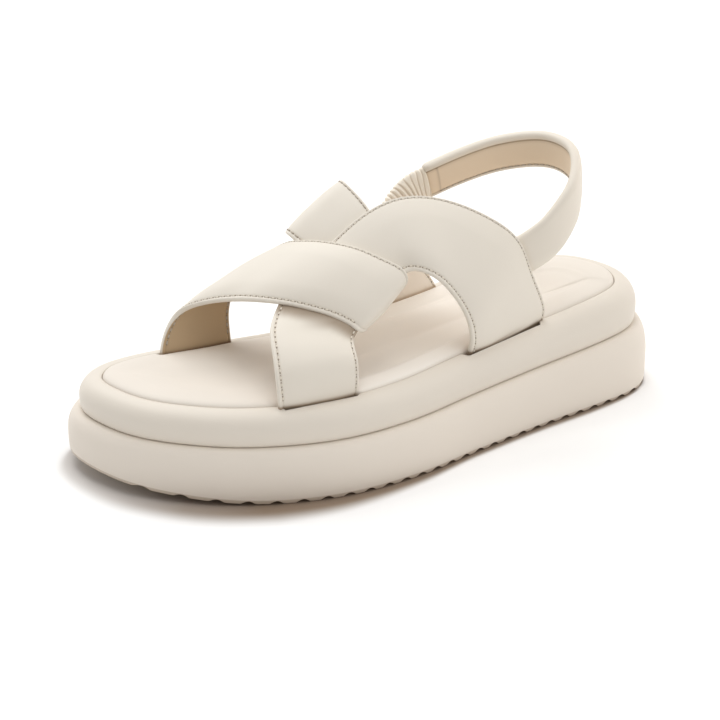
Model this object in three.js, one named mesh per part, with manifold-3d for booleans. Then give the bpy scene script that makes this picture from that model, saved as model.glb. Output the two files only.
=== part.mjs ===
// A flatform slingback sandal for the left foot, in millimetres.
// +Z is up, the toe points to -Y and the outer side of the foot is +X.
// The origin is on the ground, below the middle of the sole.

import * as THREE from 'three';
import { mergeVertices } from 'three/addons/utils/BufferGeometryUtils.js';
import Module from 'manifold-3d';

// Driving sizes of the platform
const SOLE_LENGTH = 264;
const BALL_WIDTH = 99;
const LOWER_ROLL_PROUD = 6;
const UPPER_ROLL_PROUD = 0.8;
const BOTTOM_EDGE_PROUD = 5;
const CREASE_DEPTH = 3;
const RIM_WIDTH = 8.6;
const TOE_SPRING = 6.6;
const SPRING_START = 0.25;
const SPRING_POWER = 1.8;
const CREASE_HEIGHT = { toe: 24.6, ball: 23.2, heel: 28.8 };
const SEAM_HEIGHT = { toe: 38, ball: 38.2, heel: 47.2 };
const BALL_SHARE = 0.45;

// How full the rolls' sections are, as powers of the cosine: 1 is an ellipse and less is squarer.
const LOWER_ROLL_FULLNESS = 0.8;
const UPPER_ROLL_FULLNESS = 0.7;
const RIM_FULLNESS = 0.85;
const RIM_WIDEST = 0.45;

// Driving sizes of the tread
const TREAD_START = 14;
const TREAD_END = 6;
const RIB_PITCH_TOE = 12.6;
const RIB_PITCH_HEEL = 8.1;
const TREAD_GROOVE_WIDTH = 5.4;
const TREAD_GROOVE_DEPTH = 1.5;

// Driving sizes of the footbed
const FOOTBED_THICKNESS = 6.5;
const RECESS_LIP = 1;
const FOOTBED_ROLL = 2.4;
const FOOTBED_ROLL_RISE = 0.95;
const FOOTBED_BAND_RISE = 1.2;
const FOOTBED_STEP = 1.8;
const HEEL_CUP_DEPTH = 2.6;
const HEEL_CUP_START = 0.5;
const HEEL_CUP_END = 0.85;
const ARCH_RISE = 3;
const ARCH_PLACE = 0.56;
const ARCH_REACH = 0.14;
const SPINE_END_ROOM = 0.8;

// Driving sizes of the upper
const INSTEP_RISE = 66;
const BAND_WALL = 2.6;
const SLING_WIDTH = 17;
const SLING_THICKNESS = 5;
const STRAP_FULLNESS = 0.8;
const ELASTIC_WIDTH = 15;
const ELASTIC_THICKNESS = 4.4;
const ELASTIC_RUFFLES = 9;
const ELASTIC_RUFFLE_DEPTH = 0.22;

// What touches is built this far apart
const CLEARANCE = 0.3;

// How finely the curved forms are divided
const OUTLINE_POINTS = 72;
const BAND_STEPS_PER_ROW = 3;
const SLING_STEPS_PER_ROW = 4;
const ELASTIC_STEPS_PER_ROW = 11;
const BAND_COLUMNS = 5;
const STRAP_SIDES = 10;
const GROOVE_SEGMENTS = 10;
const OUTSOLE_DEGREES = [-90, -62, -30, 5, 35, 55, 70, 80, 90];
const RIM_DEGREES_BELOW = [60, 30, 0];
const RIM_DEGREES_ABOVE = [22, 42, 60, 76, 88];
const WELD = 1e-4;

const PERCENT = 0.01;
const TAU = 2 * Math.PI;

// A table row becomes an object with named columns.
function table(columns, rows) {
  return rows.map((row) => Object.fromEntries(columns.map((name, index) => [name, row[index]])));
}

// Outline of the crease between the two rolls, from the toe's tip round the outer side.
// Along is a percentage of the crease's length, outer and inner are percentages of half its ball width.
const TIP_SIDE = { toe: -39.4, heel: 10 };
const OUTLINE = table(['along', 'outer', 'inner'], [
  [2.5, 15, 72],
  [8, 55.5, 90],
  [18, 96, 92.5],
  [32, 121.5, 78.5],
  [46, 120, 68.5],
  [60, 101.5, 76],
  [74, 85.5, 87],
  [86, 75, 86.5],
  [94, 64.5, 66],
  [98, 48, 36],
]);

// The footbed's top from its rolled edge inwards. Pull is the percentage of the way to the middle line,
// band, dish and arch are percentages of the band's rise, of the dish's depth and of the arch's rise.
const BAND_AND_DISH = table(['pull', 'band', 'dish', 'arch'], [
  [8, 100, 0, 20],
  [22, 85, 0, 40],
  [26, 30, 35, 60],
  [45, 0, 80, 100],
  [72, 0, 100, 50],
  [92, 0, 100, 0],
]);

// The two bands of the upper, as rows across the band's wall, from one sewn end to the other.
// Side is a percentage of the ball width from the middle, along of the sole's length from the toe,
// up of the instep's rise above the seam, and bulge of the ball width.
const BAND_COLUMN_NAMES = [
  'firstSide', 'firstAlong', 'firstUp', 'secondSide', 'secondAlong', 'secondUp', 'bulge',
];

// From the inner side of the toes over the instep, folded round the outer band, and back under it.
const INNER_BAND = table(BAND_COLUMN_NAMES, [
  [-35, 18, -8, -32.5, 30, -8, 0],
  [-37.5, 18, 2.5, -34.5, 30, 2.5, 0],
  [-39, 19.5, 16, -37.5, 30.5, 25, 0.5],
  [-36.5, 21.5, 27, -36, 33.5, 46, 1],
  [-29.5, 24.5, 34, -27, 38.5, 63.5, 1.5],
  [-19.5, 27, 39.5, -18, 40.5, 69, 2],
  [-6.5, 29, 45, -8.5, 43, 71, 2],
  [6, 33, 45.5, 2.5, 46, 70, 2],
  [16, 37.5, 40.5, 11, 48.5, 65.5, 1.5],
  [22, 40, 35, 17, 50.5, 61, 1],
  [24.5, 40.5, 30.5, 19.5, 51.5, 56.5, 0],
  [22, 41.5, 27, 16, 52, 52.5, 0],
  [14, 42, 33.5, 8, 52, 58.5, 0],
  [2.5, 42, 46, -2.5, 51.5, 73, 0],
  [-8.5, 41.5, 57, -11.5, 51, 83.5, -0.5],
  [-19.5, 40.5, 63, -21.5, 50.5, 90, -1],
  [-29.5, 40, 65.5, -30.5, 50.5, 91.5, -1],
  [-35.5, 43, 54.5, -36.5, 53.5, 77.5, -1],
  [-37.5, 48, 29.5, -38.5, 60, 46, -0.5],
  [-34.5, 52.5, 10.5, -37.5, 66, 17, 0],
  [-31.5, 54, 0.5, -36, 68.5, 0.5, 0],
  [-29.5, 54, -11, -34, 68.5, -11, 0],
]);

// From the outer side of the toes up under the inner band, round over its end, and down to the rear.
const OUTER_BAND = table(BAND_COLUMN_NAMES, [
  [35.5, 37.5, -8.5, 32, 25.5, -8, 0],
  [38.5, 37.5, 2, 34.5, 25, 2.5, 0],
  [37.5, 38, 19.5, 32.5, 25, 19, 1],
  [32, 39, 27.5, 25, 26, 30, 1],
  [27, 40, 31, 15, 27.5, 37.5, 0.5],
  [22.5, 43, 37, 4.5, 30.5, 42, 0.5],
  [19, 46, 45.5, -4.5, 35, 51, 1],
  [16, 49.5, 52, -10.5, 43, 66.5, 2],
  [15, 52.5, 55.5, -10.5, 49, 81, 2],
  [19, 54.5, 54.5, -8.5, 54.5, 87.5, 2],
  [25, 56.5, 48, -3.5, 60, 85, 2],
  [30, 58.5, 34, 8, 65, 78, 2],
  [32.5, 59.5, 21, 18, 70.5, 61, 2],
  [32, 60, 9.5, 22, 73.5, 36.5, 1],
  [30.5, 60, 2, 22, 76, 11.5, 0.5],
  [29.5, 60, -5, 20, 76, -0.5, 0],
  [28.5, 60, -10.5, 18.5, 76, -10.5, 0],
]);

// Middle line of the sling round the heel, from under the outer band; lean is in degrees, top inwards.
const STRAP_COLUMN_NAMES = ['side', 'along', 'up', 'lean'];
const SLING = table(STRAP_COLUMN_NAMES, [
  [13, 69.5, 41, 4],
  [18.2, 74, 49, 4],
  [20.5, 78, 60, 3],
  [16.5, 82.5, 76, 2],
  [4.5, 85.5, 86.5, 4],
  [-8, 85.5, 89.5, 6],
  [-20, 83.5, 88.5, 7],
  [-30, 78.5, 84.5, 7],
  [-34.5, 72.5, 80, 6],
  [-35, 66.5, 76, 4],
]);

// Middle line of the gathered elastic, from inside the inner band to the sling's end.
const ELASTIC = table(STRAP_COLUMN_NAMES, [
  [-31.5, 55.5, 47, 4],
  [-32.5, 58, 55.5, 4],
  [-34.5, 61, 66.5, 4],
  [-35, 63.5, 73.5, 4],
  [-35, 66.35, 76, 4],
]);

// A height that follows the foot: quadratic through its values at the toe, ball and heel.
function followFoot(height, share) {
  const toe = ((share - BALL_SHARE) * (share - 1)) / BALL_SHARE;
  const ball = (share * (share - 1)) / (BALL_SHARE * (BALL_SHARE - 1));
  const heel = (share * (share - BALL_SHARE)) / (1 - BALL_SHARE);
  return height.toe * toe + height.ball * ball + height.heel * heel;
}

// The tread lifts towards the toe's tip.
function treadHeight(share) {
  const lift = Math.max(0, (SPRING_START - share) / SPRING_START);
  return TOE_SPRING * lift ** SPRING_POWER;
}

// Points of the crease's outline with their outward normals and shares of the length,
// moved so that the widest outline of the lower roll is centred on the origin.
function creaseOutline() {
  const length = SOLE_LENGTH - 2 * LOWER_ROLL_PROUD;
  const halfWidth = BALL_WIDTH / 2 - LOWER_ROLL_PROUD;
  const point = (side, along) => new THREE.Vector3(
    side * PERCENT * halfWidth, (along * PERCENT - 0.5) * length, 0,
  );
  const outer = OUTLINE.map((row) => point(row.outer, row.along));
  const inner = OUTLINE.map((row) => point(-row.inner, row.along)).reverse();
  const corners = [point(TIP_SIDE.toe, 0), ...outer, point(TIP_SIDE.heel, 100), ...inner];
  const curve = new THREE.CatmullRomCurve3(corners, true, 'centripetal');
  const spots = curve.getSpacedPoints(OUTLINE_POINTS).slice(0, OUTLINE_POINTS);
  const columns = spots.map((spot, index) => {
    const before = spots[(index + OUTLINE_POINTS - 1) % OUTLINE_POINTS];
    const after = spots[(index + 1) % OUTLINE_POINTS];
    const run = new THREE.Vector3().subVectors(after, before).normalize();
    const normal = new THREE.Vector3(run.y, -run.x, 0);
    const share = THREE.MathUtils.clamp(spot.y / length + 0.5, 0, 1);
    return { spot, normal, share };
  });
  const box = new THREE.Box3().setFromPoints(
    columns.map(({ spot, normal }) => spot.clone().addScaledVector(normal, LOWER_ROLL_PROUD)),
  );
  const middle = box.getCenter(new THREE.Vector3());
  columns.forEach(({ spot }) => spot.sub(middle));
  return columns;
}

const outline = creaseOutline();

// A ring round the sole: proud of the crease by an offset, at a height that may follow the foot.
function ring(proud, height) {
  return outline.map(({ spot, normal, share }) => {
    const point = spot.clone().addScaledVector(normal, proud);
    point.z = typeof height === 'function' ? height(share) : height;
    return point;
  });
}

// Collects points and triangles into an indexed geometry with shared vertices.
function solidGeometry(points, triangles) {
  const geometry = new THREE.BufferGeometry();
  const positions = points.flatMap((point) => [point.x, point.y, point.z]);
  geometry.setAttribute('position', new THREE.Float32BufferAttribute(positions, 3));
  geometry.setIndex(triangles.flat());
  return mergeVertices(geometry, WELD);
}

// A closed solid through rings of the sole, lowest or outermost first.
// Strips from side to side close its first ring below and its last ring above.
function ringSolid(rings) {
  const points = rings.flat();
  const triangles = [];
  const count = OUTLINE_POINTS;
  for (let level = 0; level < rings.length - 1; level += 1) {
    for (let index = 0; index < count; index += 1) {
      const next = (index + 1) % count;
      const low = level * count;
      const high = low + count;
      triangles.push([low + index, low + next, high + next], [low + index, high + next, high + index]);
    }
  }
  const top = (rings.length - 1) * count;
  for (let index = 0; index < count / 2; index += 1) {
    const left = (count - index) % count;
    const leftNext = count - index - 1;
    const strip = [[index, index + 1, leftNext]];
    if (index > 0) strip.push([index, leftNext, left]);
    strip.filter(([a, b, c]) => a !== b && b !== c && a !== c).forEach(([a, b, c]) => {
      triangles.push([top + a, top + b, top + c], [a, c, b]);
    });
  }
  return solidGeometry(points, triangles);
}

// Place of a point of the upper from its shares of the shoe's sizes.
function placed(side, along, up) {
  const share = along * PERCENT;
  const seam = followFoot(SEAM_HEIGHT, THREE.MathUtils.clamp(share, 0, 1));
  return new THREE.Vector3(
    side * PERCENT * BALL_WIDTH,
    (share - 0.5) * SOLE_LENGTH,
    seam + up * PERCENT * INSTEP_RISE,
  );
}

// Unit normals of a grid of points, from the differences between its neighbours.
function gridNormals(grid) {
  return grid.map((line, i) => line.map((_, j) => {
    const before = grid[Math.max(i - 1, 0)][j];
    const after = grid[Math.min(i + 1, grid.length - 1)][j];
    const left = line[Math.max(j - 1, 0)];
    const right = line[Math.min(j + 1, line.length - 1)];
    const alongRun = new THREE.Vector3().subVectors(after, before);
    const acrossRun = new THREE.Vector3().subVectors(right, left);
    return alongRun.cross(acrossRun).normalize();
  }));
}

// A band of even wall between two edges that run through the table's rows.
// Extra is the room on every side that a slot for the band needs.
function bandGeometry(rows, wall, extra = 0) {
  const first = new THREE.CatmullRomCurve3(
    rows.map((row) => placed(row.firstSide, row.firstAlong, row.firstUp)),
  );
  const second = new THREE.CatmullRomCurve3(
    rows.map((row) => placed(row.secondSide, row.secondAlong, row.secondUp)),
  );
  const steps = (rows.length - 1) * BAND_STEPS_PER_ROW;
  const flat = [];
  const bulges = [];
  for (let step = 0; step <= steps; step += 1) {
    const start = first.getPoint(step / steps);
    const end = second.getPoint(step / steps);
    const across = new THREE.Vector3().subVectors(end, start).normalize();
    start.addScaledVector(across, -extra);
    end.addScaledVector(across, extra);
    const row = Math.min(Math.floor(step / BAND_STEPS_PER_ROW), rows.length - 2);
    const blend = step / BAND_STEPS_PER_ROW - row;
    bulges.push(THREE.MathUtils.lerp(rows[row].bulge, rows[row + 1].bulge, blend) * PERCENT * BALL_WIDTH);
    flat.push(Array.from({ length: BAND_COLUMNS + 1 }, (_, j) => start.clone().lerp(end, j / BAND_COLUMNS)));
  }
  const flatNormals = gridNormals(flat);
  const middle = flat.map((line, i) => line.map((point, j) => {
    const across = (2 * j) / BAND_COLUMNS - 1;
    return point.clone().addScaledVector(flatNormals[i][j], bulges[i] * (1 - across * across));
  }));
  const normals = gridNormals(middle);
  lengthen(middle, extra);
  const half = wall / 2 + extra;
  const face = (direction) => middle.map((line, i) => line.map(
    (point, j) => point.clone().addScaledVector(normals[i][j], direction * half),
  ));
  return shellGeometry(face(1), face(-1));
}

// Moves the two end lines of a grid outwards along it.
function lengthen(grid, extra) {
  [[0, 1], [grid.length - 1, grid.length - 2]].forEach(([end, before]) => {
    grid[end].forEach((point, j) => {
      point.addScaledVector(new THREE.Vector3().subVectors(point, grid[before][j]).normalize(), extra);
    });
  });
}

// Closes two equal grids of points into one solid, the first grid on its outer face.
function shellGeometry(outer, inner) {
  const rowLength = outer[0].length;
  const size = outer.length * rowLength;
  const points = [...outer.flat(), ...inner.flat()];
  const at = (i, j) => i * rowLength + j;
  const triangles = [];
  for (let i = 0; i < outer.length - 1; i += 1) {
    for (let j = 0; j < rowLength - 1; j += 1) {
      const [a, b, c, d] = [at(i, j), at(i + 1, j), at(i + 1, j + 1), at(i, j + 1)];
      triangles.push([a, b, c], [a, c, d], [size + a, size + c, size + b], [size + a, size + d, size + c]);
    }
  }
  const edge = [];
  for (let i = 0; i < outer.length - 1; i += 1) edge.push(at(i, 0));
  for (let j = 0; j < rowLength - 1; j += 1) edge.push(at(outer.length - 1, j));
  for (let i = outer.length - 1; i > 0; i -= 1) edge.push(at(i, rowLength - 1));
  for (let j = rowLength - 1; j > 0; j -= 1) edge.push(at(0, j));
  edge.forEach((a, index) => {
    const b = edge[(index + 1) % edge.length];
    triangles.push([a, size + a, size + b], [a, size + b, b]);
  });
  return solidGeometry(points, triangles);
}

// A padded strap of rounded flat section along the table's rows.
// Ruffles swell and pinch it that many times from end to end.
function strapGeometry(rows, width, thickness, stepsPerRow, ruffles = 0, ruffleDepth = 0) {
  const path = new THREE.CatmullRomCurve3(rows.map((row) => placed(row.side, row.along, row.up)));
  const steps = (rows.length - 1) * stepsPerRow;
  const points = [];
  const triangles = [];
  const up = new THREE.Vector3(0, 0, 1);
  for (let step = 0; step <= steps; step += 1) {
    const t = step / steps;
    const centre = path.getPoint(t);
    const run = path.getTangent(t);
    const row = Math.min(Math.floor(step / stepsPerRow), rows.length - 2);
    const lean = THREE.MathUtils.lerp(rows[row].lean, rows[row + 1].lean, step / stepsPerRow - row);
    const outwards = new THREE.Vector3().crossVectors(run, up).normalize();
    const tall = new THREE.Vector3().crossVectors(outwards, run).normalize();
    tall.applyAxisAngle(run, THREE.MathUtils.degToRad(-lean));
    outwards.applyAxisAngle(run, THREE.MathUtils.degToRad(-lean));
    const swell = 1 + ruffleDepth * Math.cos(ruffles * TAU * t);
    for (let side = 0; side < STRAP_SIDES; side += 1) {
      const angle = (side / STRAP_SIDES) * TAU;
      const flatness = Math.sign(Math.cos(angle)) * Math.abs(Math.cos(angle)) ** STRAP_FULLNESS;
      const tallness = Math.sign(Math.sin(angle)) * Math.abs(Math.sin(angle)) ** STRAP_FULLNESS;
      points.push(centre.clone()
        .addScaledVector(outwards, (flatness * swell * thickness) / 2)
        .addScaledVector(tall, (tallness * width) / 2));
    }
  }
  for (let step = 0; step < steps; step += 1) {
    for (let side = 0; side < STRAP_SIDES; side += 1) {
      const next = (side + 1) % STRAP_SIDES;
      const low = step * STRAP_SIDES;
      const high = low + STRAP_SIDES;
      triangles.push([low + side, high + next, low + next], [low + side, high + side, high + next]);
    }
  }
  const last = steps * STRAP_SIDES;
  for (let side = 1; side < STRAP_SIDES - 1; side += 1) {
    triangles.push([0, side, side + 1], [last, last + side + 1, last + side]);
  }
  return solidGeometry(points, triangles);
}

// Booleans
const wasm = await Module();
wasm.setup();

function toSolid(geometry) {
  return new wasm.Manifold(new wasm.Mesh({
    numProp: 3,
    vertProperties: new Float32Array(geometry.attributes.position.array),
    triVerts: new Uint32Array(geometry.index.array),
  }));
}

function toGeometry(solid) {
  const mesh = solid.getMesh();
  const geometry = new THREE.BufferGeometry();
  geometry.setAttribute('position', new THREE.BufferAttribute(mesh.vertProperties, 3));
  geometry.setIndex(new THREE.BufferAttribute(mesh.triVerts, 1));
  return geometry;
}

const creaseHeight = (share) => followFoot(CREASE_HEIGHT, share);
const seamHeight = (share) => followFoot(SEAM_HEIGHT, share);

// The lower layer: a full round side from the tread's edge to the crease.
function outsole() {
  const rings = OUTSOLE_DEGREES.map(THREE.MathUtils.degToRad).map((angle) => {
    const base = angle < 0 ? BOTTOM_EDGE_PROUD : 0;
    const proud = base + (LOWER_ROLL_PROUD - base) * Math.max(Math.cos(angle), 0) ** LOWER_ROLL_FULLNESS;
    return ring(proud, (share) => {
      const low = treadHeight(share);
      const high = creaseHeight(share);
      return (low + high) / 2 + ((high - low) / 2) * Math.sin(angle);
    });
  });
  rings.push(ring(-CREASE_DEPTH, creaseHeight));
  let solid = toSolid(ringSolid(rings));
  treadGrooves().forEach((groove) => {
    solid = solid.subtract(toSolid(groove));
  });
  return toGeometry(solid);
}

// Round-bottomed grooves across the tread, closer together from the toe to the ball.
function treadGrooves() {
  const radius = (TREAD_GROOVE_WIDTH ** 2 / 4 + TREAD_GROOVE_DEPTH ** 2) / (2 * TREAD_GROOVE_DEPTH);
  const grooves = [];
  let along = TREAD_START - SOLE_LENGTH / 2;
  while (along < SOLE_LENGTH / 2 - TREAD_END) {
    const share = along / SOLE_LENGTH + 0.5;
    const section = new THREE.Shape();
    section.absarc(0, TREAD_GROOVE_DEPTH - radius, radius, 0, TAU, false);
    const groove = new THREE.ExtrudeGeometry(section, {
      depth: 2 * BALL_WIDTH, bevelEnabled: false, curveSegments: GROOVE_SEGMENTS,
    });
    groove.rotateX(Math.PI / 2);
    groove.rotateZ(Math.PI / 2);
    groove.translate(-BALL_WIDTH, along, treadHeight(share));
    groove.deleteAttribute('normal');
    groove.deleteAttribute('uv');
    grooves.push(mergeVertices(groove, WELD));
    along += THREE.MathUtils.lerp(RIB_PITCH_TOE, RIB_PITCH_HEEL, Math.min(1, share / BALL_SHARE));
  }
  return grooves;
}

// The upper layer: a soft round rim with a recess for the footbed.
function midsoleSolid() {
  const widest = (share) => THREE.MathUtils.lerp(creaseHeight(share), seamHeight(share), RIM_WIDEST);
  const rings = [ring(-CREASE_DEPTH, (share) => creaseHeight(share) + CLEARANCE)];
  RIM_DEGREES_BELOW.map(THREE.MathUtils.degToRad).forEach((angle) => {
    const proud = -CREASE_DEPTH + (CREASE_DEPTH + UPPER_ROLL_PROUD) * Math.cos(angle) ** UPPER_ROLL_FULLNESS;
    rings.push(ring(proud, (share) => {
      const low = creaseHeight(share) + CLEARANCE;
      return widest(share) - (widest(share) - low) * Math.sin(angle);
    }));
  });
  RIM_DEGREES_ABOVE.map(THREE.MathUtils.degToRad).forEach((angle) => {
    const proud = -RIM_WIDTH + (RIM_WIDTH + UPPER_ROLL_PROUD) * Math.cos(angle) ** RIM_FULLNESS;
    rings.push(ring(proud, (share) => (
      widest(share) + (seamHeight(share) - widest(share)) * Math.sin(angle)
    )));
  });
  rings.push(ring(-RIM_WIDTH, (share) => seamHeight(share) - RECESS_LIP));
  rings.push(ring(-RIM_WIDTH, (share) => seamHeight(share) - FOOTBED_THICKNESS));
  return toSolid(ringSolid(rings));
}

// The insole pad: a raised band round the edge, a step down and a dished middle with an arch.
function footbedSolid() {
  const edge = RIM_WIDTH + CLEARANCE;
  const floor = (share) => seamHeight(share) - FOOTBED_THICKNESS + CLEARANCE;
  const rings = [
    ring(-edge, floor),
    ring(-edge, (share) => seamHeight(share) - RECESS_LIP),
    ring(-edge - FOOTBED_ROLL / 4, seamHeight),
    ring(-edge - FOOTBED_ROLL, (share) => seamHeight(share) + FOOTBED_ROLL_RISE),
    ...BAND_AND_DISH.map(footbedRing),
  ];
  return toSolid(ringSolid(rings));
}

// A ring of the footbed, pulled in from its rolled edge towards the foot's middle line.
function footbedRing({ pull, band, dish, arch }) {
  const spineEnd = (SOLE_LENGTH - BALL_WIDTH * SPINE_END_ROOM) / 2;
  const base = ring(-RIM_WIDTH - CLEARANCE - FOOTBED_ROLL, seamHeight);
  return base.map((edgePoint, index) => {
    const other = base[(OUTLINE_POINTS - index) % OUTLINE_POINTS];
    const spine = edgePoint.clone().lerp(other, 0.5);
    spine.y = THREE.MathUtils.clamp(spine.y, -spineEnd, spineEnd);
    const point = edgePoint.clone().lerp(spine, pull * PERCENT);
    const share = point.y / SOLE_LENGTH + 0.5;
    const heel = THREE.MathUtils.smoothstep(share, HEEL_CUP_START, HEEL_CUP_END);
    const waist = Math.exp(-(((share - ARCH_PLACE) / ARCH_REACH) ** 2));
    const inner = edgePoint.x < spine.x ? 1 : 0;
    point.z = seamHeight(share) + band * PERCENT * FOOTBED_BAND_RISE
      - dish * PERCENT * (FOOTBED_STEP + HEEL_CUP_DEPTH * heel)
      + arch * PERCENT * ARCH_RISE * waist * inner;
    return point;
  });
}

function finish(color, roughness) {
  return new THREE.MeshStandardMaterial({ color, roughness, metalness: 0 });
}

function part(name, geometry, material) {
  const mesh = new THREE.Mesh(geometry, material);
  mesh.name = name;
  return mesh;
}

const leather = finish(0xe9e5da, 0.55);
const sole = finish(0xd8cbb9, 0.6);
const lining = finish(0xeeeadf, 0.65);
const elastic = finish(0xc8b8a4, 0.8);

const slots = [INNER_BAND, OUTER_BAND].map((rows) => toSolid(bandGeometry(rows, BAND_WALL, CLEARANCE)));
const upper = toSolid(bandGeometry(INNER_BAND, BAND_WALL)).add(toSolid(bandGeometry(OUTER_BAND, BAND_WALL)));

// The strap slots are cut through the edge, and the thin threads that they leave outside are trimmed off.
function cutBySlots(solid) {
  const bodies = slots.reduce((rest, slot) => rest.subtract(slot), solid).decompose();
  return bodies.reduce((largest, body) => (body.volume() > largest.volume() ? body : largest));
}

const sandal = new THREE.Group();
sandal.add(
  part('outsole', outsole(), sole),
  part('midsole', toGeometry(cutBySlots(midsoleSolid())), sole),
  part('footbed', toGeometry(cutBySlots(footbedSolid())), lining),
  part('upper', toGeometry(upper), leather),
  part('heel_strap', strapGeometry(SLING, SLING_WIDTH, SLING_THICKNESS, SLING_STEPS_PER_ROW), leather),
  part('elastic_gather', strapGeometry(
    ELASTIC, ELASTIC_WIDTH, ELASTIC_THICKNESS, ELASTIC_STEPS_PER_ROW, ELASTIC_RUFFLES, ELASTIC_RUFFLE_DEPTH,
  ), elastic),
);

export default sandal;
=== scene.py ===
"""A flatform slingback sandal for the left foot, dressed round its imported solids.

Millimetres are used while a piece is worked out, and metres in every mesh. +Z is up, the toe
points to -Y and the outer side of the foot is +X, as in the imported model.
"""

import bpy
import numpy as np
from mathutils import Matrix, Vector


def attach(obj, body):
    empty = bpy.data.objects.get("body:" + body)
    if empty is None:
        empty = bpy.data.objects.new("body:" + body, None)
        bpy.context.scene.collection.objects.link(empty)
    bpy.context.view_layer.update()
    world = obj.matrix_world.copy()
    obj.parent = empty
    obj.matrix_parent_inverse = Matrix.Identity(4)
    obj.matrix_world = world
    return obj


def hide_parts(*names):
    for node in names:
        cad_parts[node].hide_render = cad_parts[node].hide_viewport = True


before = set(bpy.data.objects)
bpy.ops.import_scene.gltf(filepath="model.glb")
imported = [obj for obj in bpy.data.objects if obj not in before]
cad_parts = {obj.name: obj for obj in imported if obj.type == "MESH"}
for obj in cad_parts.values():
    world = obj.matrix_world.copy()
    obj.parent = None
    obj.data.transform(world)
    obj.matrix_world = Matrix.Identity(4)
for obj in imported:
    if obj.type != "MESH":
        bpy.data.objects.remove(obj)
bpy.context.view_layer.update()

# The studio: a dim white room with broad soft lamps. Most of the light comes from above and from behind the
# heel and the inner side, so that tops are bright, near sides fall off, and the shadow comes forward.
MM = 0.001
CAMERA_AIM = (-6.3, -5.32, 29.12)
CAMERA_AZIMUTH, CAMERA_ELEVATION, CAMERA_DISTANCE = 60.76, 24.83, 1295.84
CAMERA_LENS, CAMERA_SENSOR, CAMERA_FAR_END = 152.19, 36, 50
ROOM_COLOUR = (1.0, 0.985, 0.97)
ROOM_STRENGTH = 0.38
LAMP_DISTANCE, LAMP_SIZE, LAMP_AIM = 1.8, 1.1, (0, 0, 0.04)
WARM = (1.0, 0.94, 0.88)


def sight(azimuth, elevation):
    """Unit direction from the object to a viewer: azimuth 0 stands at -Y and 90 at +X."""
    around, above = np.radians(azimuth), np.radians(elevation)
    return Vector((np.sin(around) * np.cos(above), -np.cos(around) * np.cos(above), np.sin(above)))


def aim(item, place, target):
    """Puts a camera or light at a place, looking along its own -Z at the target."""
    item.location = place
    item.rotation_euler = (Vector(target) - Vector(place)).to_track_quat("-Z", "Y").to_euler()
    bpy.context.scene.collection.objects.link(item)


camera = bpy.data.objects.new("camera", bpy.data.cameras.new("camera"))
camera.data.lens = CAMERA_LENS
camera.data.sensor_width = CAMERA_SENSOR
camera.data.clip_end = CAMERA_FAR_END
camera_aim = Vector(CAMERA_AIM) * MM
aim(camera, camera_aim + sight(CAMERA_AZIMUTH, CAMERA_ELEVATION) * CAMERA_DISTANCE * MM, camera_aim)
bpy.context.scene.camera = camera
bpy.context.scene.view_settings.view_transform = "Standard"

world = bpy.data.worlds.new("room")
world.use_nodes = True
world.node_tree.nodes["Background"].inputs["Color"].default_value = (*ROOM_COLOUR, 1)
world.node_tree.nodes["Background"].inputs["Strength"].default_value = ROOM_STRENGTH
bpy.context.scene.world = world


def soft_light(name, azimuth, elevation, power, tint=(1.0, 1.0, 1.0)):
    """A square area lamp in that direction, aimed at the sandal."""
    lamp = bpy.data.lights.new(name, "AREA")
    lamp.size = LAMP_SIZE
    lamp.energy = power
    lamp.color = tint
    aim(bpy.data.objects.new(name, lamp), sight(azimuth, elevation) * LAMP_DISTANCE, LAMP_AIM)


soft_light("overhead_lamp", 0, 88, 10)
soft_light("inner_side_lamp", 270, 50, 11.5)
soft_light("low_inner_lamp", 280, 25, 4)
soft_light("outer_side_lamp", 105, 50, 3.2)
soft_light("heel_lamp", 190, 52, 3.2)
soft_light("low_heel_lamp", 180, 22, 6.5, WARM)
soft_light("outer_fill_lamp", 115, 18, 2.8, WARM)
soft_light("toe_fill_lamp", 325, 22, 3.2)

# The outsole: a moulded foam rubber layer with a full round side, lifted a little at the toe.
# It stands on a tread of cross ribs, whose grooves run out through the lower edge as small dents.
SOLE_LENGTH, BALL_WIDTH = 264.0, 99.0
LOWER_ROLL_PROUD, BOTTOM_EDGE_PROUD = 6.0, 5.0
TOE_SPRING, SPRING_START, SPRING_POWER = 6.6, 0.25, 1.8
CREASE_HEIGHT = (24.6, 23.2, 28.8)
SEAM_HEIGHT = (38.0, 38.2, 47.2)
BALL_SHARE = 0.45
TREAD_START, TREAD_END, RIB_PITCH_TOE, RIB_PITCH_HEEL = 14.0, 6.0, 12.6, 8.1
GROOVE_WIDTH, GROOVE_DEPTH = 5.4, 1.5
OUTLINE_STEPS, FINE_STEPS, OUTLINE_EASING = 1080, 6000, 7
LOWER_ROLL_FULLNESS = 0.8
TIP_SIDE = (-39.4, 10.0)
OUTLINE_ROWS = np.array([
    # along, outer, inner
    [2.5, 15, 72], [8, 55.5, 90], [18, 96, 92.5], [32, 121.5, 78.5], [46, 120, 68.5],
    [60, 101.5, 76], [74, 85.5, 87], [86, 75, 86.5], [94, 64.5, 66], [98, 48, 36],
])


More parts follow.
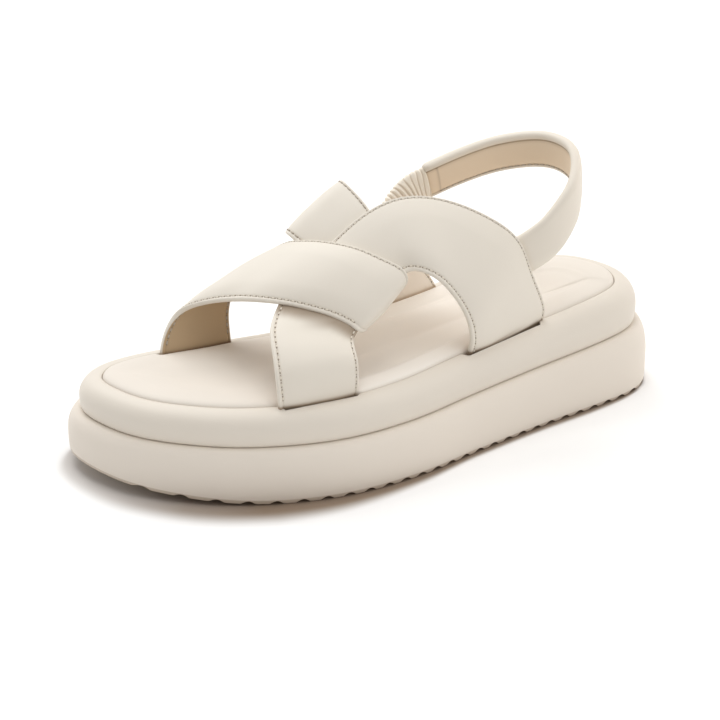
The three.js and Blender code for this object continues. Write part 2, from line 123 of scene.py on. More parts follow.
def through(rows, places, closed=False):
    """A smooth curve through the rows of a table, read at row numbers with fractions.

    Between two rows it is the cubic whose slope at each row is half the step from the row before it
    to the row after it.
    """
    rows = np.asarray(rows, float)
    count = len(rows)
    if closed:
        padded = rows[np.arange(-1, count + 2) % count]
        first = np.minimum(np.floor(places).astype(int), count - 1)
    else:
        padded = np.concatenate([[2 * rows[0] - rows[1]], rows, [2 * rows[-1] - rows[-2]]])
        first = np.clip(np.floor(places).astype(int), 0, count - 2)
    t = (places - first)[:, None]
    before, start, end, after = (padded[first + k] for k in range(4))
    leave, arrive = (end - before) / 2, (after - start) / 2
    return (
        start * (2 * t**3 - 3 * t**2 + 1) + leave * (t**3 - 2 * t**2 + t)
        + end * (3 * t**2 - 2 * t**3) + arrive * (t**3 - t**2)
    )


def follow_foot(heights, share):
    """A height that follows the foot: the parabola through its values at the toe, the ball and the heel."""
    toe = (share - BALL_SHARE) * (share - 1) / BALL_SHARE
    ball = share * (share - 1) / (BALL_SHARE * (BALL_SHARE - 1))
    heel = share * (share - BALL_SHARE) / (1 - BALL_SHARE)
    return heights[0] * toe + heights[1] * ball + heights[2] * heel


def length_along(line):
    """How far along a line of points each point is, measured on the line."""
    return np.concatenate([[0], np.cumsum(np.linalg.norm(np.diff(line, axis=0), axis=1))])


def at_places(places, run, values):
    """Rows of values, given at the lengths in run, read at other places by straight steps between them."""
    return np.stack([np.interp(places, run, values[:, k]) for k in range(values.shape[1])], 1)


def even_steps(points, steps):
    """The same closed curve in that many even steps of its length."""
    points = np.concatenate([points, points[:1]])
    run = length_along(points)
    places = np.linspace(0, run[-1], steps + 1)[:-1]
    return at_places(places, run, points)


def smoothed_ring(values, reach):
    """A closed row of values, each averaged with its neighbours under a bell curve of that many steps."""
    waves = np.fft.rfftfreq(len(values)) * 2 * np.pi * reach
    keep = np.exp(-(waves**2) / 2)
    keep = keep.reshape(-1, *[1] * (values.ndim - 1))
    return np.fft.irfft(np.fft.rfft(values, axis=0) * keep, len(values), axis=0)


def crease_outline():
    """Outline of the crease between the two rolls from the toe's tip round the outer side.

    Gives its points, outward normals and shares of the length, moved so that the lower roll is centred.
    """
    length = SOLE_LENGTH - 2 * LOWER_ROLL_PROUD
    half_width = BALL_WIDTH / 2 - LOWER_ROLL_PROUD
    along, outer, inner = OUTLINE_ROWS.T / 100
    side = np.concatenate([[TIP_SIDE[0] / 100], outer, [TIP_SIDE[1] / 100], -inner[::-1]]) * half_width
    run = (np.concatenate([[0], along, [1], along[::-1]]) - 0.5) * length
    corners = np.stack([side, run], 1)
    curve = through(corners, np.linspace(0, len(corners), FINE_STEPS, endpoint=False), closed=True)
    points = smoothed_ring(even_steps(curve, OUTLINE_STEPS), OUTLINE_EASING)
    step = np.roll(points, -1, 0) - np.roll(points, 1, 0)
    step /= np.linalg.norm(step, axis=1)[:, None]
    normals = np.stack([step[:, 1], -step[:, 0]], 1)
    share = np.clip(points[:, 1] / length + 0.5, 0, 1)
    widest = points + normals * LOWER_ROLL_PROUD
    return points - (widest.max(0) + widest.min(0)) / 2, normals, share


outline, outline_normals, outline_share = crease_outline()


def share_of_length(along):
    """A place along the sole as a share of its length, from 0 at the toe's tip to 1 at the heel's."""
    return along / SOLE_LENGTH + 0.5


def tread_height(share):
    """How far the tread is off the floor: nothing, then a power of the way to the toe's tip."""
    return TOE_SPRING * np.clip((SPRING_START - share) / SPRING_START, 0, None) ** SPRING_POWER


def groove_places():
    """Places of the tread's grooves in millimetres along the sole, closer together toward the ball."""
    places, along = [], TREAD_START - SOLE_LENGTH / 2
    while along < SOLE_LENGTH / 2 - TREAD_END:
        places.append(along)
        way_to_ball = min(1, share_of_length(along) / BALL_SHARE)
        along += RIB_PITCH_TOE + (RIB_PITCH_HEEL - RIB_PITCH_TOE) * way_to_ball
    return np.array(places)


def tread_ceiling(along):
    """Height of the tread's underside along the sole: the tread's height plus a round groove where one is."""
    away = np.abs(along[..., None] - groove_places()).min(-1)
    groove = GROOVE_DEPTH * np.clip(1 - (away / (GROOVE_WIDTH / 2)) ** 2, 0, None)
    return tread_height(np.clip(share_of_length(along), 0, 1)) + groove


def rings(proud, low, high, rise):
    """Points of a ringed side: each ring is offset outwards from the crease by proud, at a height.

    The height is rise of the way from low to high. proud and rise have a value for each ring, or for
    each ring and point of the outline. low and high have one for each point.
    """
    proud = np.asarray(proud, float)
    rise = np.asarray(rise, float)
    if proud.ndim == 1:
        proud = proud[:, None]
    if rise.ndim == 1:
        rise = rise[:, None]
    flat = outline + outline_normals * proud[..., None]
    height = low + (high - low) * rise
    return np.concatenate([flat, np.broadcast_to(height, flat.shape[:2])[..., None]], -1)


def grid_faces(rows, columns, join_rows=False):
    """Quads between neighbouring rows of a grid of points, each row closed round.

    With join_rows, the last row is joined to the first too.
    """
    row = np.arange(rows if join_rows else rows - 1)[:, None]
    column = np.arange(columns)[None, :]
    next_row, next_column = (row + 1) % rows, (column + 1) % columns
    corners = [row * columns + column, row * columns + next_column,
               next_row * columns + next_column, next_row * columns + column]
    return np.stack(np.broadcast_arrays(*corners), -1).reshape(-1, 4)


def across_faces(first, count, upwards):
    """Quads that close a ring of points by strips across the foot, from point number first on."""
    right = np.arange(1, count // 2 - 1)
    left = count - right
    strips = np.stack([right, right + 1, left - 1, left], 1)
    faces = [list(face) for face in strips]
    faces += [[0, 1, count - 1], [count // 2 - 1, count // 2, count // 2 + 1]]
    return [[first + k for k in (face if upwards else face[::-1])] for face in faces]


def piece(name, points, faces, materials, shade=None, looks=None):
    """Makes a closed smooth mesh from points in millimetres, and lets it ride on the sandal.

    shade is 0 to 1 at each point, where a material is deepened. looks is the material number of each face.
    """
    mesh = bpy.data.meshes.new(name)
    mesh.from_pydata((np.asarray(points, float).reshape(-1, 3) * MM).tolist(), [], [list(f) for f in faces])
    mesh.polygons.foreach_set("use_smooth", np.ones(len(mesh.polygons), bool))
    for material in materials:
        mesh.materials.append(material)
    if looks is not None:
        mesh.polygons.foreach_set("material_index", np.asarray(looks, np.int32))
    deep = mesh.attributes.new("shade", "FLOAT", "POINT")
    values = np.zeros(len(mesh.vertices)) if shade is None else np.asarray(shade, float).ravel()
    deep.data.foreach_set("value", values.astype(np.float32))
    mesh.update()
    made = bpy.data.objects.new(name, mesh)
    bpy.context.scene.collection.objects.link(made)
    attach(made, "root")
    return made


CLOUD_SCALE, NOISE_DETAIL = 22, 3
CELL_SMOOTHNESS, FINE_PER_CELL, FINE_WEIGHT = 0.6, 2.6, 0.5
ROUGHNESS_SPREAD, SOFT_SPECULAR = 0.06, 0.35


def soft_finish(name, main_colour, deep_colour, roughness, grain, grain_depth, cloud=0.03, sheen=0.0):
    """A soft matt skin: its colour drifts a little in large clouds and deepens by the shade attribute.

    Its bump is a fine pebble of cells with a little noise; grain is the size of a pebble in millimetres.
    """
    material = bpy.data.materials.new(name)
    material.use_nodes = True
    nodes, links = material.node_tree.nodes, material.node_tree.links
    shader = nodes["Principled BSDF"]
    place = nodes.new("ShaderNodeTexCoord")
    clouds = nodes.new("ShaderNodeTexNoise")
    clouds.inputs["Scale"].default_value = CLOUD_SCALE
    clouds.inputs["Detail"].default_value = NOISE_DETAIL
    drift = nodes.new("ShaderNodeMapRange")
    drift.inputs["To Min"].default_value = 1 - cloud
    drift.inputs["To Max"].default_value = 1 + cloud
    tint = nodes.new("ShaderNodeMix")
    tint.data_type = "RGBA"
    tint.blend_type = "MIX"
    tint.inputs["A"].default_value = (*main_colour, 1)
    tint.inputs["B"].default_value = (*deep_colour, 1)
    depth = nodes.new("ShaderNodeAttribute")
    depth.attribute_name = "shade"
    scaled = nodes.new("ShaderNodeVectorMath")
    scaled.operation = "SCALE"
    links.new(place.outputs["Object"], clouds.inputs["Vector"])
    links.new(clouds.outputs["Fac"], drift.inputs["Value"])
    links.new(depth.outputs["Fac"], tint.inputs["Factor"])
    links.new(tint.outputs["Result"], scaled.inputs[0])
    links.new(drift.outputs["Result"], scaled.inputs["Scale"])
    links.new(scaled.outputs["Vector"], shader.inputs["Base Color"])
    cells = nodes.new("ShaderNodeTexVoronoi")
    cells.feature = "SMOOTH_F1"
    cells.inputs["Scale"].default_value = 1 / (grain * MM)
    cells.inputs["Smoothness"].default_value = CELL_SMOOTHNESS
    fine = nodes.new("ShaderNodeTexNoise")
    fine.inputs["Scale"].default_value = FINE_PER_CELL / (grain * MM)
    fine.inputs["Detail"].default_value = NOISE_DETAIL
    height = nodes.new("ShaderNodeMath")
    height.operation = "MULTIPLY_ADD"
    height.inputs[1].default_value = FINE_WEIGHT
    bump = nodes.new("ShaderNodeBump")
    bump.inputs["Strength"].default_value = 1.0
    bump.inputs["Distance"].default_value = grain_depth * MM
    links.new(place.outputs["Object"], cells.inputs["Vector"])
    links.new(place.outputs["Object"], fine.inputs["Vector"])
    links.new(fine.outputs["Fac"], height.inputs[0])
    links.new(cells.outputs["Distance"], height.inputs[2])
    links.new(height.outputs["Value"], bump.inputs["Height"])
    links.new(bump.outputs["Normal"], shader.inputs["Normal"])
    rough = nodes.new("ShaderNodeMapRange")
    rough.inputs["To Min"].default_value = roughness - ROUGHNESS_SPREAD
    rough.inputs["To Max"].default_value = roughness + ROUGHNESS_SPREAD
    links.new(fine.outputs["Fac"], rough.inputs["Value"])
    links.new(rough.outputs["Result"], shader.inputs["Roughness"])
    shader.inputs["Specular IOR Level"].default_value = SOFT_SPECULAR
    shader.inputs["Sheen Weight"].default_value = sheen
    return material


def colour(red, green, blue):
    """A colour from its screen values out of 255, made linear."""
    value = np.array([red, green, blue]) / 255
    return tuple(np.where(value > 0.04045, ((value + 0.055) / 1.055) ** 2.4, value / 12.92))


sole_skin = soft_finish("moulded_sole", colour(230, 221, 209), colour(168, 148, 124), 0.55, 0.5, 0.012)
tread_rubber = soft_finish("tread_rubber", colour(214, 203, 187), colour(150, 132, 110), 0.7, 0.7, 0.03)

low_edge = tread_height(outline_share)
crease, seam = follow_foot(CREASE_HEIGHT, outline_share), follow_foot(SEAM_HEIGHT, outline_share)

# Its section has rings under it, round its side, and over its top to the inside.
UNDERSIDE_RINGS = [-14, -10, -5, -1, 2, 4]
TOP_RINGS, TOP_RISE = [-1.5, -3, -6, -14, -14], [1, 1, 1, 1, 0.5]
UNDERSIDE_SHADE, UNDERSIDE_MARGIN = 0.5, 0.1
bend = np.concatenate([np.linspace(-90, -60, 17), np.linspace(-55, 55, 19), np.linspace(60, 90, 9)])
bend = np.radians(bend)
start = np.where(bend < 0, BOTTOM_EDGE_PROUD, 0.0)
roll_proud = start + (LOWER_ROLL_PROUD - start) * np.clip(np.cos(bend), 0, None) ** LOWER_ROLL_FULLNESS
section_proud = np.concatenate([UNDERSIDE_RINGS, roll_proud, TOP_RINGS])
section_rise = np.concatenate([np.zeros(len(UNDERSIDE_RINGS)), (np.sin(bend) + 1) / 2, TOP_RISE])
outsole_points = rings(section_proud, low_edge, crease, section_rise)
side_points = outsole_points[:-len(TOP_RINGS)]
side_points[..., 2] = np.maximum(side_points[..., 2], tread_ceiling(side_points[..., 1]))
underside_top = tread_height(outline_share) + GROOVE_DEPTH + UNDERSIDE_MARGIN
outsole_shade = UNDERSIDE_SHADE * (outsole_points[..., 2] < underside_top)
outsole = piece(
    "outsole_side", outsole_points, grid_faces(*outsole_points.shape[:2], join_rows=True),
    [sole_skin], outsole_shade,
)
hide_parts("outsole")

# The tread sheet closes the sole below: straight cross ribs with round grooves between them,
# moulded in a slightly darker rubber and set in the outsole's lower rim.
TREAD_INSET, TREAD_SHEET, TREAD_LIFT = 3.0, 5.0, 0.03
TREAD_STATIONS, TREAD_COLUMNS = 500, 13
TIP_STATIONS = np.linspace(0, 3, 12) ** 2
tread_edge = outline - outline_normals * TREAD_INSET
toe_tip, heel_tip = tread_edge[:, 1].argmin(), tread_edge[:, 1].argmax()
stations = np.unique(np.concatenate([
    np.linspace(tread_edge[toe_tip, 1], tread_edge[heel_tip, 1], TREAD_STATIONS),
    tread_edge[toe_tip, 1] + TIP_STATIONS,
    tread_edge[heel_tip, 1] - TIP_STATIONS,
]))


def edge_side(from_tip, to_tip):
    """How far to the side the tread's edge is at each station, going round from one tip to the other."""
    count = (to_tip - from_tip) % OUTLINE_STEPS
    arc = tread_edge[(from_tip + np.arange(count + 1)) % OUTLINE_STEPS]
    order = np.argsort(arc[:, 1])
    return np.interp(stations, arc[order, 1], arc[order, 0])


outer_edge, inner_edge = edge_side(toe_tip, heel_tip), edge_side(heel_tip, toe_tip)
across = np.linspace(0, 1, TREAD_COLUMNS)
tread_side = inner_edge[:, None] + (outer_edge - inner_edge)[:, None] * across
tread_along = np.broadcast_to(stations[:, None], tread_side.shape)
tread_low = tread_ceiling(tread_along) + TREAD_LIFT
tread_top = TREAD_SHEET + tread_height(np.clip(share_of_length(tread_along), 0, 1))
tread_points = np.concatenate([
    np.stack([tread_side, tread_along, tread_low], -1),
    np.stack([tread_side, tread_along, tread_top], -1)[:, ::-1],
], axis=1)
tread_faces = grid_faces(*tread_points.shape[:2])[:, ::-1]
width = tread_points.shape[1]
for row, turn in ((0, 1), (len(stations) - 1, -1)):
    lower = row * width + np.arange(len(across))
    upper = row * width + width - 1 - np.arange(len(across))
    cap = np.stack([lower[:-1], lower[1:], upper[1:], upper[:-1]], 1)[:, ::turn]
    tread_faces = np.concatenate([tread_faces, cap])
piece("tread_sheet", tread_points, tread_faces, [tread_rubber])

# The midsole rim: foam wrapped in smooth leather, a second softer roll on the outsole. It rolls over
# to a groove where it meets the footbed, and opens a little where the outer side's two strap ends go down.
CREASE_DEPTH, UPPER_ROLL_PROUD, RIM_WIDTH = 1.0, 0.8, 8.6
FOOTBED_THICKNESS, CLEARANCE = 6.5, 0.3
RIM_WIDEST, CREASE_GAP = 0.45, 0.08
LOWER_FULLNESS, UPPER_FULLNESS = 0.7, 0.85
RIM_UNDERSIDE_RINGS = [-14, -6, -CREASE_DEPTH]
RIM_INNER_RINGS = np.array([
    # offset from the rim's inner edge, share of the footbed's thickness below the seam, shade
    [-0.25, 0.04, 0.3], [-0.3, 0.16, 0.9], [-0.3, 1, 1], [-4.5, 1, 1],
])
SIDE_BLEND = 0.2
RIM_OPENING = np.array([
    # per cent of the length, opening for the two strap ends of the outer side in millimetres
    [24.7, 0], [25.2, 3.9], [28.3, 2.2], [31.5, 1.0], [34.8, 0.8], [37.8, 1.3], [38.3, 0],
    [59.5, 0], [60.1, 3.7], [68.0, 3.6], [75.3, 3.3], [75.9, 0],
])


def smooth_step(value, low, high):
    """0 below low, 1 above high, and an S curve between."""
    t = np.clip((value - low) / (high - low), 0, 1)
    return t * t * (3 - 2 * t)


rim_skin = soft_finish("rim_leather", colour(226, 218, 206), colour(160, 138, 112), 0.5, 0.55, 0.012)

under = np.radians(np.linspace(78, 0, 12))
over = np.radians(np.linspace(8, 90, 16))
under_proud = -CREASE_DEPTH + (CREASE_DEPTH + UPPER_ROLL_PROUD) * np.cos(under) ** LOWER_FULLNESS
over_proud = -RIM_WIDTH + (RIM_WIDTH + UPPER_ROLL_PROUD) * np.cos(over) ** UPPER_FULLNESS
rim_low = crease + CREASE_GAP
rim_wide = crease + (seam - crease) * RIM_WIDEST
lower_part = rings(
    np.concatenate([RIM_UNDERSIDE_RINGS, under_proud]), rim_low, rim_wide,
    np.concatenate([np.zeros(len(RIM_UNDERSIDE_RINGS)), 1 - np.sin(under)]),
)
outer_side = smooth_step(outline_normals[:, 0], -SIDE_BLEND, SIDE_BLEND)
opening = np.interp(100 * share_of_length(outline[:, 1]), *RIM_OPENING.T, left=0, right=0) * outer_side
upper_part = rings(np.maximum(over_proud[:, None], opening - RIM_WIDTH), rim_wide, seam, np.sin(over))
inner_part = rings(
    RIM_INNER_RINGS[:, 0, None] - RIM_WIDTH + opening, seam, seam - FOOTBED_THICKNESS, RIM_INNER_RINGS[:, 1],
)
rim_points = np.concatenate([lower_part, upper_part, inner_part])
rim_shade = np.zeros(rim_points.shape[:2])
rim_shade[-len(RIM_INNER_RINGS):] = RIM_INNER_RINGS[:, 2, None]
rim = piece(
    "midsole_rim", rim_points, grid_faces(*rim_points.shape[:2], join_rows=True),
    [rim_skin], rim_shade,
)
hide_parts("midsole")

# The footbed: a shaped foam pad covered in soft lining leather. Its edge rolls down at the rim, a raised
# border runs round it, and inside that it dips under the foot, with a heel cup and a rise at the arch.
FOOTBED_STEP, HEEL_CUP_DEPTH = 1.4, 1.2
FALL_START, FALL_END = -0.15, 0.75
BORDER_FALL, BORDER_FALL_END, FLAT_RISE = 1.6, 0.16, 0.3
MERGE_START, MERGE_END = 0.1, 0.95
PLAIN_INSET, EASING = 3.0, 1.5
HEEL_CUP_START, HEEL_CUP_END = 0.5, 0.85
ARCH_RISE, ARCH_PLACE, ARCH_REACH, ARCH_SIDE_BLEND = 3.0, 0.56, 0.14, 8
SPINE_END_ROOM = 1.1
BEHIND_TOE, AT_HEEL = (0.25, 0.33), (0.58, 0.72)
NEAR_DIRECTION, NEAR_BLEND = np.array([0.87, -0.49]), (-0.35, 0.25)
HEEL_BORDER, FAR_EDGE_SHADE, HEEL_EDGE_SHADE = 0.3, 0.3, 0.5
BORDER_LINE_ROW, BORDER_LINE_SHADE = 12, 0.25
# Painted shade over the open toe and heel, fading out over these spans along the sole in millimetres.
OPEN_ENDS_PAINTED_SHADE, SHADED_TOE, SHADED_HEEL = 0.3, (-55, -30), (40, 70)
ROOT_EASING = 1.5
# The room that the pad leaves for the two front strap ends, in millimetres by per cent of the length.
OUTER_ROOT_ROOM = np.array([
    [25.0, 0], [26.0, 1.6], [28.3, 1.9], [33.0, 2.3], [37.0, 2.2], [38.4, 1.0], [38.8, 0],
])
INNER_ROOT_ROOM = np.array([
    [17.2, 0], [17.9, 2.5], [24.0, 2.4], [27.0, 1.7], [30.0, 0.6], [32.0, 0],
])
FOOTBED_EDGE = np.array([
    # inset from the rim, height over the seam, share of the room left for the straps, how far the clear
    # border's step sinks below the plain edge, lift on the far side, shade
    [0.1, -6.2, 1, 0, 0, 1],
    [0.1, -3.0, 1, 0, 0, 1],
    [0.1, -1.2, 1, 0, 0, 0.8],
    [0.25, -0.5, 1, 0, 0.5, 0.35],
    [0.7, 0.15, 1, 0, 0.35, 0.1],
    [1.4, 0.65, 1, 0, 0.2, 0],
    [2.4, 1.0, 1, 0, 0, 0],
    [3.6, 1.2, 0.9, 0, 0, 0],
    [5.5, 1.25, 0.7, 0, 0, 0],
    [7.5, 1.2, 0.4, 0, 0, 0],
    [9.0, 1.12, 0.25, 0.02, 0, 0],
    [9.8, 1.04, 0.15, 0.12, 0, 0],
    [10.5, 0.97, 0.1, 0.4, 0, 0],
    [11.2, 0.9, 0.05, 0.72, 0, 0],
    [12.0, 0.82, 0.02, 0.92, 0, 0],
])
footbed_skin = soft_finish(
    "footbed_lining", colour(243, 237, 228), colour(190, 176, 158), 0.62, 0.45, 0.01, cloud=0.02, sheen=0.1
)


def root_room():
    """How far the footbed's edge gives way to the straps."""
    per_cent = 100 * share_of_length(outline[:, 1])
    outer_room = np.interp(per_cent, *OUTER_ROOT_ROOM.T, left=0, right=0)
    inner_room = np.interp(per_cent, *INNER_ROOT_ROOM.T, left=0, right=0)
    return smoothed_ring(np.where(outline_normals[:, 0] > 0, outer_room, inner_room), ROOT_EASING)


edge_inset, edge_level, edge_gives, border_step, far_lift, edge_shade = FOOTBED_EDGE.T[..., None]
behind_toe, at_heel = smooth_step(outline_share, *BEHIND_TOE), smooth_step(outline_share, *AT_HEEL)
clear_border = behind_toe * (outer_side * (1 - at_heel) + HEEL_BORDER * at_heel)
near_side = smooth_step(outline_normals @ NEAR_DIRECTION, *NEAR_BLEND)
edge_height = edge_level - border_step * clear_border + far_lift * (1 - near_side)
pad_inset = edge_inset + root_room() * edge_gives
edge_part = rings(-RIM_WIDTH - CLEARANCE - pad_inset, seam, seam + 1, edge_height)
# Far in from the rim, the rings would cross themselves at the heel's corner, so they are eased round it.
for row, inset in enumerate(FOOTBED_EDGE[:, 0]):
    if inset > PLAIN_INSET:
        edge_part[row] = smoothed_ring(edge_part[row], (inset - PLAIN_INSET) * EASING)
# The spine is the middle line between the border's two sides, held back from the toe and the heel.
border = edge_part[-1]
opposite = border[-np.arange(OUTLINE_STEPS)]
spine = (border + opposite) / 2
spine_end = (SOLE_LENGTH - BALL_WIDTH * SPINE_END_ROOM) / 2
spine_run = np.maximum.accumulate(spine[: OUTLINE_STEPS // 2 + 1, 1])
spine[:, 1] = np.clip(spine[:, 1], -spine_end, spine_end)
spine[:, 0] = np.interp(spine[:, 1], spine_run, spine[: OUTLINE_STEPS // 2 + 1, 0])
# The inside is drawn from the border to the spine, in finer steps near the border.
pull = np.concatenate([np.linspace(0.02, 0.3, 14), np.linspace(0.34, 0.97, 20)])
inside = border + (spine - border) * pull[:, None, None]
pad_share, border_share = share_of_length(inside[..., 1]), share_of_length(border[:, 1])
heel = smooth_step(pad_share, HEEL_CUP_START, HEEL_CUP_END)
waist = np.exp(-(((pad_share - ARCH_PLACE) / ARCH_REACH) ** 2))
inner_side = smooth_step(spine[:, 0] - border[:, 0], -ARCH_SIDE_BLEND, ARCH_SIDE_BLEND)
falls = smooth_step(pull, FALL_START, FALL_END)[:, None] - smooth_step(0, FALL_START, FALL_END)
first_fall = smooth_step(pull, 0, BORDER_FALL_END)[:, None]
merges = smooth_step(pull, MERGE_START, MERGE_END)[:, None]
arch = np.sin(np.pi * pull)[:, None] * waist * inner_side * ARCH_RISE
inside[..., 2] = (
    follow_foot(SEAM_HEIGHT, pad_share) + (seam - follow_foot(SEAM_HEIGHT, border_share)) * (1 - merges)
    + (edge_height[-1] - BORDER_FALL * clear_border * first_fall) * (1 - merges) + FLAT_RISE * merges
    - falls * (FOOTBED_STEP + HEEL_CUP_DEPTH * heel) + arch
)
footbed_points = np.concatenate([edge_part, inside])
footbed_rows = len(footbed_points)
footbed_faces = grid_faces(footbed_rows, OUTLINE_STEPS).tolist()
footbed_faces += across_faces(0, OUTLINE_STEPS, upwards=False)
footbed_faces += across_faces((footbed_rows - 1) * OUTLINE_STEPS, OUTLINE_STEPS, upwards=True)
footbed_shade = np.zeros((footbed_rows, OUTLINE_STEPS))
side_share = FAR_EDGE_SHADE + (1 - FAR_EDGE_SHADE) * near_side
footbed_shade[:len(FOOTBED_EDGE)] = edge_shade * side_share * (1 - HEEL_EDGE_SHADE * at_heel)
footbed_shade[BORDER_LINE_ROW] = BORDER_LINE_SHADE * clear_border
# The open toe and heel get painted shade, which leaves the middle under the straps lighter: painted light
# there.
behind_shaded_toe = smooth_step(footbed_points[..., 1], *SHADED_TOE)
before_shaded_heel = 1 - smooth_step(footbed_points[..., 1], *SHADED_HEEL)
footbed_shade = np.maximum(footbed_shade, OPEN_ENDS_PAINTED_SHADE * (1 - behind_shaded_toe * before_shaded_heel))
footbed = piece("footbed_pad", footbed_points, footbed_faces, [footbed_skin], footbed_shade)
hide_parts("footbed")

# The two bands of the upper: soft artificial leather over thin foam with a lining. Each edge is folded
# and sewn down 2.5 mm in. The inner band folds round the outer one, and both go down inside the rim.
INSTEP_RISE = 66.0
BAND_STITCH_INSET = 2.5
BAND_STEPS_PER_ROW = 18
BAND_SOFTENING = 0.2
ACROSS_STEPS = 9
MARGIN_REACH = (3, 6)
FOLD_GROOVE_SHADE, FOLD_GROOVE_REACH = 0.2, 0.28
ROOT_SHADE, ROOT_LEVEL, ROOT_REACH = 0.9, 0.6, 0.7
COVER_SHADE, COVER_START, COVER_REACH = 0.85, 2.0, 9.0
COVER_ROWS, COVER_STEP = (6.5, 10.5), 4
EDGE_COLUMNS = 3
INNER_BAND_ROWS = np.array([
    # first edge: side, along, up; second edge: side, along, up; bulge
    [-35, 18, -8, -32.5, 30, -8, 0],
    [-37.5, 18, 2.5, -34.5, 30, 2.5, 0],
    [-39, 19.5, 16, -37.5, 30.5, 25, 0.5],
    [-36.5, 21.5, 27, -36, 33.5, 46, 1],
    [-29.5, 24.5, 34, -27, 38.5, 63.5, 1.5],
    [-19.5, 27, 39.5, -18, 40.5, 69, 2],
    [-6.5, 29, 45, -8.5, 43, 71, 2],
    [6, 33, 45.5, 2.5, 46, 70, 2],
    [16, 37.5, 40.5, 11, 48.5, 65.5, 1.5],
    [22, 40, 35, 17, 50.5, 61, 1],
    [24.3, 41, 31.2, 19.5, 51, 55.5, 0],
    [20, 43.2, 28.5, 15.5, 50.5, 47, 0],
    [12, 44.2, 36, 7, 51, 54, 0],
    [2.5, 42.4, 47, -2.5, 51.2, 72, 0],
    [-8.5, 41.5, 57, -11.5, 51, 83.5, -0.5],
    [-19.5, 40.5, 64, -21.5, 50.5, 91, -1],
    [-31.5, 39.7, 68, -32.5, 50.2, 94.5, -1],
    [-37, 42.7, 56, -37.5, 53.2, 78.5, -1],
    [-37.5, 48, 29.5, -38.5, 60, 46, -0.5],
    [-34.5, 52.5, 10.5, -37.5, 66, 17, 0],
    [-31.5, 54, 0.5, -36, 68.5, 0.5, 0],
    [-29.5, 54, -11, -34, 68.5, -11, 0],
])
FOLD_ROW = 12.2
OUTER_BAND_ROWS = np.array([
    # the same columns
    [35.5, 37.5, -8.5, 32, 25.5, -8, 0],
    [38.5, 38.1, 2, 34.5, 25, 2.5, 0],
    [37.5, 38.4, 19.5, 32.5, 25, 19, 1],
    [31.3, 39, 26.3, 25, 26, 30, 1],
    [25.6, 40.3, 29, 15, 27.5, 37.5, 0.5],
    [21.5, 43.4, 36, 4.5, 30.5, 42, 0.5],
    [19, 46, 45.5, -4.5, 35, 51, 1],
    [16, 49.5, 52, -10.5, 43, 67.5, 2],
    [15, 52.5, 55.5, -10.5, 49.3, 83, 2],
    [19, 54.5, 54.5, -8.5, 55.2, 90, 2],
    [25, 56.5, 48, -3.5, 61, 87.5, 2],
    [30, 58.5, 34, 8, 66, 80, 2],
    [32.5, 59.5, 21, 18, 71.3, 62.5, 2],
    [32, 60, 9.5, 22, 73.5, 36.5, 1],
    [30.5, 60, 2, 22, 76, 11.5, 0.5],
    [29.5, 60, -5, 20, 76, -0.5, 0],
    [28.5, 60, -10.5, 18.5, 76, -10.5, 0],
])
# How wide the sewn margin is along each of the two edges, by row, as a share of the full width.
INNER_MARGINS = (
    np.array([[0, 0.9], [11, 0.9], [12.5, 0.7], [21, 0.7]]),
    np.array([[0, 0.5], [21, 0.5]]),
)
OUTER_MARGINS = (
    np.array([[0, 0.5], [4, 0.5], [7, 0.9], [16, 0.9]]),
    np.array([[0, 0.8], [5, 0.8], [8, 0.5], [16, 0.5]]),
)
# How high each face stands over the band's middle layer, by the distance in from an edge.
OUTER_FACE = np.array([
    [0.0, 0.0], [0.05, 0.45], [0.25, 0.85], [0.65, 1.12], [1.15, 1.22], [1.65, 1.12], [2.05, 0.98],
    [2.3, 0.84], [2.5, 0.78], [2.7, 0.84], [3.0, 1.0], [3.5, 1.15], [4.4, 1.3], [6.0, 1.5], [8.5, 1.68],
    [11.5, 1.78],
])
LINING_FACE = np.array([
    [0.0, 0.0], [0.05, -0.4], [0.25, -0.8], [0.65, -1.02], [1.15, -1.1], [1.65, -1.08], [2.05, -0.98],
    [2.3, -0.86], [2.5, -0.82], [2.7, -0.88], [3.0, -1.0], [3.5, -1.12], [4.4, -1.2], [6.0, -1.25],
    [8.5, -1.28], [11.5, -1.3],
])
bands_leather = soft_finish("bands_leather", colour(229, 222, 210), colour(150, 130, 108), 0.5, 0.5, 0.014)
# A paler copy of the band lining, for the face that the fold hides: painted light.
lit_lining_copy = soft_finish("band_lining_lit_copy", colour(247, 238, 226), colour(190, 168, 142), 0.6, 0.45, 0.012)
lining_leather = soft_finish("band_lining", colour(192, 167, 134), colour(120, 96, 72), 0.6, 0.45, 0.012)


def placed(side, along, up):
    """Place in millimetres from percentages.

    side is of the ball width, along of the sole's length, and up of the instep's rise over the seam.
    """
    share = along / 100
    height = follow_foot(SEAM_HEIGHT, np.clip(share, 0, 1)) + up / 100 * INSTEP_RISE
    return np.stack([side / 100 * BALL_WIDTH, (share - 0.5) * SOLE_LENGTH, height], -1)


def smoothed_line(values, reach):
    """An open row of values, each averaged with its neighbours under a bell curve of that many steps.

    The ends stay, because the row is carried on past each end as its own point reflection.
    """
    span = int(3 * reach)
    weights = np.exp(-0.5 * (np.arange(-span, span + 1) / reach) ** 2)
    weights /= weights.sum()
    before = 2 * values[0] - values[span:0:-1]
    after = 2 * values[-1] - values[-2:-span - 2:-1]
    padded = np.concatenate([before, values, after])
    return np.stack([np.convolve(padded[:, k], weights, "valid") for k in range(values.shape[1])], 1)


def unit(vectors):
    """Vectors of length one."""
    return vectors / np.maximum(np.linalg.norm(vectors, axis=-1, keepdims=True), 1e-9)


